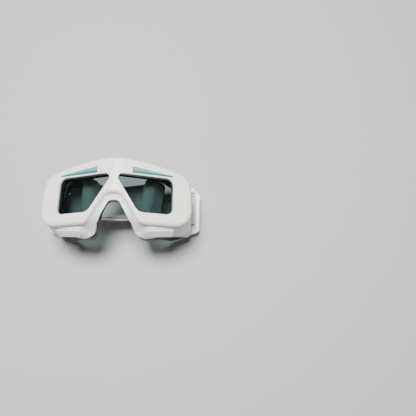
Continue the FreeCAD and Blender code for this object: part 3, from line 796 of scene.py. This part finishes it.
# ----------------------------------------------------------------------------------------- face seal
def rim_loop(inset):
    """Closed loop of the rim outline on both sides, moved inwards."""
    right = half_loop(grown(RIM, -inset, closed=False))
    left = right[::-1] * (-1, 1)
    return np.vstack([right, left[1:-1]])


def even_loop(loop, pitch):
    """The same loop with evenly spaced points."""
    closed = np.vstack([loop, loop[:1]])
    steps = np.concatenate([[0], np.cumsum(np.linalg.norm(np.diff(closed, axis=0), axis=1))])
    count = int(steps[-1] / pitch)
    wanted = np.linspace(0, steps[-1], count, endpoint=False)
    return np.column_stack([np.interp(wanted, steps, closed[:, c]) for c in range(2)])


def loop_normals(loop):
    """Unit normals towards the inside of a clockwise loop."""
    along = np.roll(loop, -1, axis=0) - np.roll(loop, 1, axis=0)
    along /= np.linalg.norm(along, axis=1)[:, None]
    return np.column_stack([along[:, 1], -along[:, 0]])


def smooth_loop(values, passes):
    for _ in range(passes):
        values = 0.25 * np.roll(values, 1, axis=0) + 0.5 * values + 0.25 * np.roll(values, -1, axis=0)
    return values


def seal_stations():
    """Middle line of the seal with inward normals and its upper and lower heights."""
    middle = even_loop(rim_loop(SEAL_INSET + SEAL_WIDTH / 2), SEAL_PITCH)
    inward = loop_normals(smooth_loop(middle, 3))
    x, y = middle[:, 0], middle[:, 1] + WINDOW_LINE
    under_lip = facet_height(LIP_DEPTH + WALL + LIP_CLEAR) - math.tan(SWEEP) * np.sqrt(x**2 + RIDGE**2)
    under_lip = under_lip - lip_drop(np.abs(x), middle[:, 1])
    top = np.minimum(np.maximum(head_height(x, y, 0.2, 0.2), EAR_LOW + 3.0), under_lip)
    top = smooth_loop(top - SEAL_LOBE_DROP * lobe_share(x, y), 2)
    base = smooth_loop(np.maximum(head_height(x, y, SEAL_DEPTH, SEAL_NOSE_DEPTH), SEAL_FLOOR), 3)
    return middle, inward, top, np.minimum(base, top - 1.5)


def ring_mesh(name, rings, paint):
    """Closed tube of closed rings, an array (station, point, 3) in millimetres."""
    count, width = rings.shape[:2]
    faces = []
    for i in range(count):
        for k in range(width):
            a, b = i * width + k, i * width + (k + 1) % width
            c, d = ((i + 1) % count) * width + (k + 1) % width, ((i + 1) % count) * width + k
            faces.append((a, b, c, d))
    piece = new_piece(name, rings.reshape(-1, 3), faces, [paint])
    close_edit(piece, edit(piece))
    return piece


def build_seal(paint):
    """Soft flange: slightly waisted band with a full rounded lip that meets the face."""
    middle, inward, top, base = seal_stations()
    rings = []
    for k in range(32):
        angle = 2 * math.pi * k / 32
        c, s = math.cos(angle), math.sin(angle)
        across = math.copysign(abs(c) ** 0.4, c) * SEAL_WIDTH / 2
        share = 0.5 + 0.5 * math.copysign(abs(s) ** 0.35, s)
        waist = 1 - 0.16 * math.sin(math.pi * share)
        spot = middle + inward * (across * waist)
        height = base + (top - base) * share
        rings.append(np.column_stack([spot[:, 0], spot[:, 1] + WINDOW_LINE, height]))
    return ring_mesh("face_seal_flange", np.array(rings).transpose(1, 0, 2), paint)


def build_bead(paint):
    """Thin bead along the lip of the seal; its pale grey is partly a painted highlight along the seal's
    glossy lip.
    """
    middle, inward, _, base = seal_stations()
    rings = []
    for k in range(12):
        angle = 2 * math.pi * k / 12
        spot = middle + inward * (BEAD_RADIUS * math.cos(angle) - SEAL_WIDTH * 0.28)
        height = base + BEAD_LIFT + BEAD_RADIUS * math.sin(angle)
        rings.append(np.column_stack([spot[:, 0], spot[:, 1] + WINDOW_LINE, height]))
    return ring_mesh("seal_bead", np.array(rings).transpose(1, 0, 2), paint)


# --------------------------------------------------------------------------------------------- vents
VENTS = {
    "upper": {"at": 36.0, "line": 13.3, "deep": 11.5, "lean": -84.0, "twist": -10.6, "long": 29.0},
    "lower": {"at": 49.0, "line": -52.7, "deep": 11.0, "lean": 58.0, "twist": 4.5, "long": 25.0},
}
VENT_HIGH = 8.6
CAP_GAP = 0.75         # air gap under the cap's edge
CAP_TOP = 2.55
SEAT_BASE = -1.2       # the seat's foot, inside the wall


def vent_outline(long, inset, corner):
    half_long, half_high = long / 2 - inset, VENT_HIGH / 2 - inset
    corners = [(-half_long, half_high, corner), (half_long, half_high, corner),
               (half_long, -half_high, corner), (-half_long, -half_high, corner)]
    return rounded(corners, 7, 0, closed=True)


def build_vent(side, hand, level, paint):
    """Cap with softened edges on a smaller seat, so that air passes under its edge; returns cap and seat."""
    facts = VENTS[level]
    matrix = facet_matrix(side) @ Matrix.Translation((side * facts["at"], facts["line"], -facts["deep"]))
    matrix = matrix @ Matrix.Rotation(side * math.radians(facts["twist"]), 4, "Z")
    matrix = matrix @ Matrix.Rotation(math.radians(facts["lean"]), 4, "X")

    def place(rows):
        return transformed(rows, matrix)

    cap = vent_outline(facts["long"], 0.0, 1.6)
    seat = vent_outline(facts["long"], 1.5, 1.0)
    name = f"{level}_{hand}"
    return (
        thick_plate(f"vent_cap_{name}", cap, [], place, CAP_GAP, CAP_TOP, paint, 0.6),
        thick_plate(f"vent_seat_{name}", seat, [], place, SEAT_BASE, CAP_GAP + 0.3, paint, 0.2),
    )


# ----------------------------------------------------------------------------------- printed stripes
STRIPE_LIFT = 0.12
DARK_STRIPE = [(17.6, 1.2), (17.6, 4.3), (57.2, 2.5), (57.4, 0.9)]
PALE_STRIPE = [(17.6, 4.5), (17.6, 8.1), (54.0, 2.95), (54.0, 2.8)]


def build_stripe(side, hand, name, corners, paint):
    """Thin printed patch on a facet."""
    rows = []
    for (u0, v0), (u1, v1) in zip(corners, corners[1:] + corners[:1]):
        for t in np.linspace(0, 1, 9)[:-1]:
            rows.append((u0 + (u1 - u0) * t, v0 + (v1 - v0) * t))
    flat = on_plane(np.array(rows), FACE_HEIGHT, SWEEP)
    up = np.array([math.sin(SWEEP), 0, math.cos(SWEEP)])
    top, base = flat + up * STRIPE_LIFT, flat - up * STRIPE_LIFT
    count = len(rows)
    faces = [tuple(range(count)), tuple(range(2 * count - 1, count - 1, -1))]
    faces += [(i, (i + 1) % count, count + (i + 1) % count, count + i) for i in range(count)]
    vertices = np.vstack([top, base]) * (side, 1, 1)
    piece = new_piece(f"{name}_{hand}", vertices, faces, [paint], smooth=False)
    close_edit(piece, edit(piece))
    return piece


# --------------------------------------------------------------------------------------------- strap
STRAP_ROUTE = [
    # (x, z, bend radius) of the middle of the webbing, from the left end to the right end
    (-57.5, 2.45, 0),
    (-62.5, 2.4, 6.0),
    (-67.0, 0.75, 8.0),
    (-75.35, 0.75, 1.6),
    (-75.35, 4.0, 1.6),
    (-56.5, 4.0, 3.0),
    (-59.4, 25.0, 3.5),
    (-46.0, 19.8, 5.0),
    (-40.5, 7.0, 2.8),
    (-38.3, 49.0, 6.2),
    (-25.3, 49.0, 6.2),
    (-24.0, 31.0, 5.0),
    (2.0, 28.0, 12.0),
    (21.0, 34.0, 5.0),
    (24.5, 50.5, 4.2),
    (33.5, 47.5, 6.0),
    (41.5, 33.0, 5.0),
    (38.5, 4.0, 3.2),
    (75.35, 4.0, 1.6),
    (75.35, 0.75, 1.6),
    (45.0, 0.75, 0),
]
STRAP_LEAN = 0.16      # how far the right-hand hump leans, per millimetre of width
HUMP_AT = 31.0
HUMP_HALF = 13.0


def strap_track():
    """Points along the middle of the webbing, about a millimetre apart on bends."""
    corners = STRAP_ROUTE
    arcs, lines = [], []
    count = len(corners)
    spots = [np.array(c[:2]) for c in corners]
    for i in range(count):
        if 0 < i < count - 1:
            back, ahead = spots[i] - spots[i - 1], spots[i + 1] - spots[i]
            turn = math.acos(np.clip(back @ ahead / np.linalg.norm(back) / np.linalg.norm(ahead), -1, 1))
            arcs.append(max(4, int(turn * 7)))
        else:
            arcs.append(1)
        if i < count - 1:
            lines.append(max(1, int(np.linalg.norm(spots[i + 1] - spots[i]) / 2.5)))
    lines.append(0)
    return rounded(corners, arcs, lines, closed=False)


def strap_section():
    """Section of the webbing as (across, through) points with soft edges."""
    half, thick, edge = STRAP_WIDE / 2, STRAP_THICK / 2, 0.55
    across = [-half + edge, -RED_LINE - 1, -10, -5, 0, 5, 10, RED_LINE + 1, half - edge]
    top = [(a, thick) for a in across]
    low = [(a, -thick) for a in reversed(across)]
    right = [(half - 0.12, thick * 0.6), (half, 0.0), (half - 0.12, -thick * 0.6)]
    left = [(-half + 0.12, -thick * 0.6), (-half, 0.0), (-half + 0.12, thick * 0.6)]
    return top + right + low + left


def build_strap(paint):
    """The whole webbing as one swept band; its UV map holds length and width in metres."""
    track = strap_track()
    steps = np.concatenate([[0], np.cumsum(np.linalg.norm(np.diff(track, axis=0), axis=1))])
    along = np.gradient(track, axis=0)
    along /= np.linalg.norm(along, axis=1)[:, None]
    normal = np.column_stack([-along[:, 1], along[:, 0]])
    section = strap_section()
    vertices, spots = [], []
    for (x, z), (nx, nz), length in zip(track, normal, steps):
        hump = math.exp(-((x - HUMP_AT) / HUMP_HALF) ** 4) * float(np.clip((z - 8.0) / 16.0, 0, 1))
        for across, through in section:
            lean = STRAP_LEAN * hump * across
            vertices.append((x + nx * through + lean, STRAP_MIDDLE + across, z + nz * through))
            spots.append((length * MM, across * MM))
    width = len(section)
    faces = [tuple(range(width))[::-1]]
    for i in range(len(track) - 1):
        for k in range(width):
            a, b = i * width + k, i * width + (k + 1) % width
            faces.append((a, b, b + width, a + width))
    faces.append(tuple((len(track) - 1) * width + k for k in range(width)))
    piece = new_piece("strap_webbing_band", vertices, faces, [paint])
    close_edit(piece, edit(piece))
    layer = piece.data.uv_layers.new(name="length")
    for loop in piece.data.loops:
        layer.data[loop.index].uv = spots[loop.vertex_index]
    return weighted(piece)


def build_stitches(paint):
    """Two rows of thread across the webbing, where its left end is sewn back to it."""
    shape, ring = lathe([(0.02, -1.0), (0.2, -0.85), (0.24, 0.0), (0.2, 0.85), (0.02, 1.0)], 8)
    turned = shape[:, [1, 2, 0]]
    vertices, faces = [], []
    for x in (-64.0, -59.5):
        for number in range(13):
            y = STRAP_MIDDLE + (number - 6) * 2.6
            z = 4.0 + STRAP_THICK / 2
            start = len(vertices)
            vertices += [(x + a, y + b, z + c) for a, b, c in turned]
            faces += [tuple(start + i for i in face) for face in ring]
    piece = new_piece("strap_stitching", vertices, faces, [paint])
    close_edit(piece, edit(piece))
    return piece


def build_slider(paint):
    """Three-bar slider: two rails and three rounded bars in one moulding."""
    low, high = (np.array(corner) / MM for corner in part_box("strap_slider"))
    middle_y = (low[1] + high[1]) / 2
    half_long, half_tall = (high[0] - low[0]) / 2, (high[1] - low[1]) / 2
    rail, bar, bar_thick = 2.6, 2.6, 1.5
    centre = (low[0] + high[0]) / 2
    blocks = []
    for end in (-1, 1):
        blocks.append((centre, middle_y + end * (half_tall - rail / 2), (low[2] + high[2]) / 2,
                       half_long, rail / 2, (high[2] - low[2]) / 2))
        blocks.append((centre + end * (half_long - bar / 2), middle_y, high[2] - bar_thick / 2,
                       bar / 2, half_tall - 0.4, bar_thick / 2))
    blocks.append((centre, middle_y, low[2] + bar_thick / 2, bar / 2, half_tall - 0.4, bar_thick / 2))
    work = bmesh.new()
    for x, y, z, sx, sy, sz in blocks:
        made = bmesh.ops.create_cube(work, size=2.0)
        for vertex in made["verts"]:
            scaled = Vector((vertex.co.x * sx, vertex.co.y * sy, vertex.co.z * sz))
            vertex.co = (Vector((x, y, z)) + scaled) * MM
    piece = new_piece("slider_moulding", [], [], [paint], body="slider")
    work.to_mesh(piece.data)
    work.free()
    sharp_bevel(piece, 0.55, angle=40)
    return weighted(piece)


# ------------------------------------------------------------------------------------------ assembly
white = white_plastic()
seal_rubber = rubber("seal_rubber", (0.012, 0.013, 0.017), (0.035, 0.036, 0.04), 0.42)
gasket_rubber = rubber("gasket_rubber", (0.010, 0.012, 0.012), (0.022, 0.024, 0.024), 0.5)
# pale grey bead: a trim part whose tone is partly a painted highlight along the seal's lip
grey_bead_and_highlight = rubber("grey_bead_and_highlight", (0.17, 0.17, 0.175), (0.25, 0.25, 0.25), 0.34)
retainer_plastic = rubber("retainer_plastic", (0.02, 0.021, 0.022), (0.05, 0.05, 0.05), 0.38)
strap_cloth = webbing()
thread = rubber("stitch_thread", (0.5, 0.5, 0.48), (0.62, 0.62, 0.6), 0.7)
dark_ink = ink("stripe_ink_dark", (0.013, 0.125, 0.155), (0.07, 0.21, 0.24))
pale_ink = ink("stripe_ink_pale", (0.105, 0.28, 0.30), (0.22, 0.39, 0.40))

filter_foam = foam()
CAD_LOOKS = {
    "filter_plate": tinted_plate(),
    "lens_gasket": gasket_rubber,
    "lens_retainer": retainer_plastic,
    "retainer_screws": steel(),
    "vent_filter_upper": filter_foam,
    "vent_filter_lower": filter_foam,
}
for _, hand in SIDES:
    for name, look in CAD_LOOKS.items():
        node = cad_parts[f"{name}_{hand}"]
        node.data.materials.clear()
        node.data.materials.append(look)

moulding = build_frame(white)
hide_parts("frame_shell")
for side, hand in SIDES:
    build_ear(side, hand, white)
    build_bar(side, hand, white)
build_bosses(white)

flange = build_seal(seal_rubber)
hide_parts("face_seal")
bead = build_bead(grey_bead_and_highlight)
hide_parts("seal_edge_trim")

for side, hand in SIDES:
    for level in VENTS:
        cap, seat = build_vent(side, hand, level, white)
        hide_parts(f"vent_cover_{level}_{hand}")
    build_stripe(side, hand, "stripe_dark", DARK_STRIPE, dark_ink)
    build_stripe(side, hand, "stripe_pale", PALE_STRIPE, pale_ink)

strap = build_strap(strap_cloth)
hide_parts("head_strap")
build_stitches(thread)
slider = build_slider(white_plastic("slider_white", (0.74, 0.73, 0.69), (0.66, 0.64, 0.59)))
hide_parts("strap_slider")


# --------------------------------------------------------------------------- stage, light and camera
def build_stage():
    bpy.ops.mesh.primitive_plane_add(size=3.0, location=(0, 0, -0.0004))
    floor = bpy.context.object
    floor.name = "floor"
    paint, _, _ = material("floor_paint", (0.46, 0.46, 0.465), 0.9)
    floor.data.materials.append(paint)


def area_light(name, location, size, energy):
    lamp = bpy.data.lights.new(name, "AREA")
    lamp.size = size
    lamp.energy = energy
    holder = bpy.data.objects.new(name, lamp)
    holder.location = location
    bpy.context.scene.collection.objects.link(holder)
    aim = Vector((0, 0, 0.05)) - holder.location
    holder.rotation_euler = aim.to_track_quat("-Z", "Y").to_euler()


def build_light():
    world = bpy.data.worlds.new("studio")
    bpy.context.scene.world = world
    world.use_nodes = True
    world.node_tree.nodes["Background"].inputs["Color"].default_value = (1, 1, 1, 1)
    world.node_tree.nodes["Background"].inputs["Strength"].default_value = 0.13
    area_light("softbox", (-0.05, 0.2, 1.15), 0.42, 36)


def build_camera():
    """Seen from above the lower edge and a little from the right, lens side up."""
    lens = bpy.data.cameras.new("camera")
    lens.lens = 36
    lens.sensor_width = 36
    camera = bpy.data.objects.new("camera", lens)
    right = Vector((1.0, 0.0012, 0.0034)).normalized()
    back = Vector((-0.0029, -0.3121, 0.9501)).normalized()
    up = back.cross(right).normalized()
    location = Vector((88.4, WINDOW_LINE - 155.4, FACE_HEIGHT + 363.5)) * MM
    turn = Matrix((right, up, back)).transposed().to_4x4()
    camera.matrix_world = Matrix.Translation(location) @ turn
    bpy.context.scene.collection.objects.link(camera)
    bpy.context.scene.camera = camera


build_stage()
build_light()
build_camera()
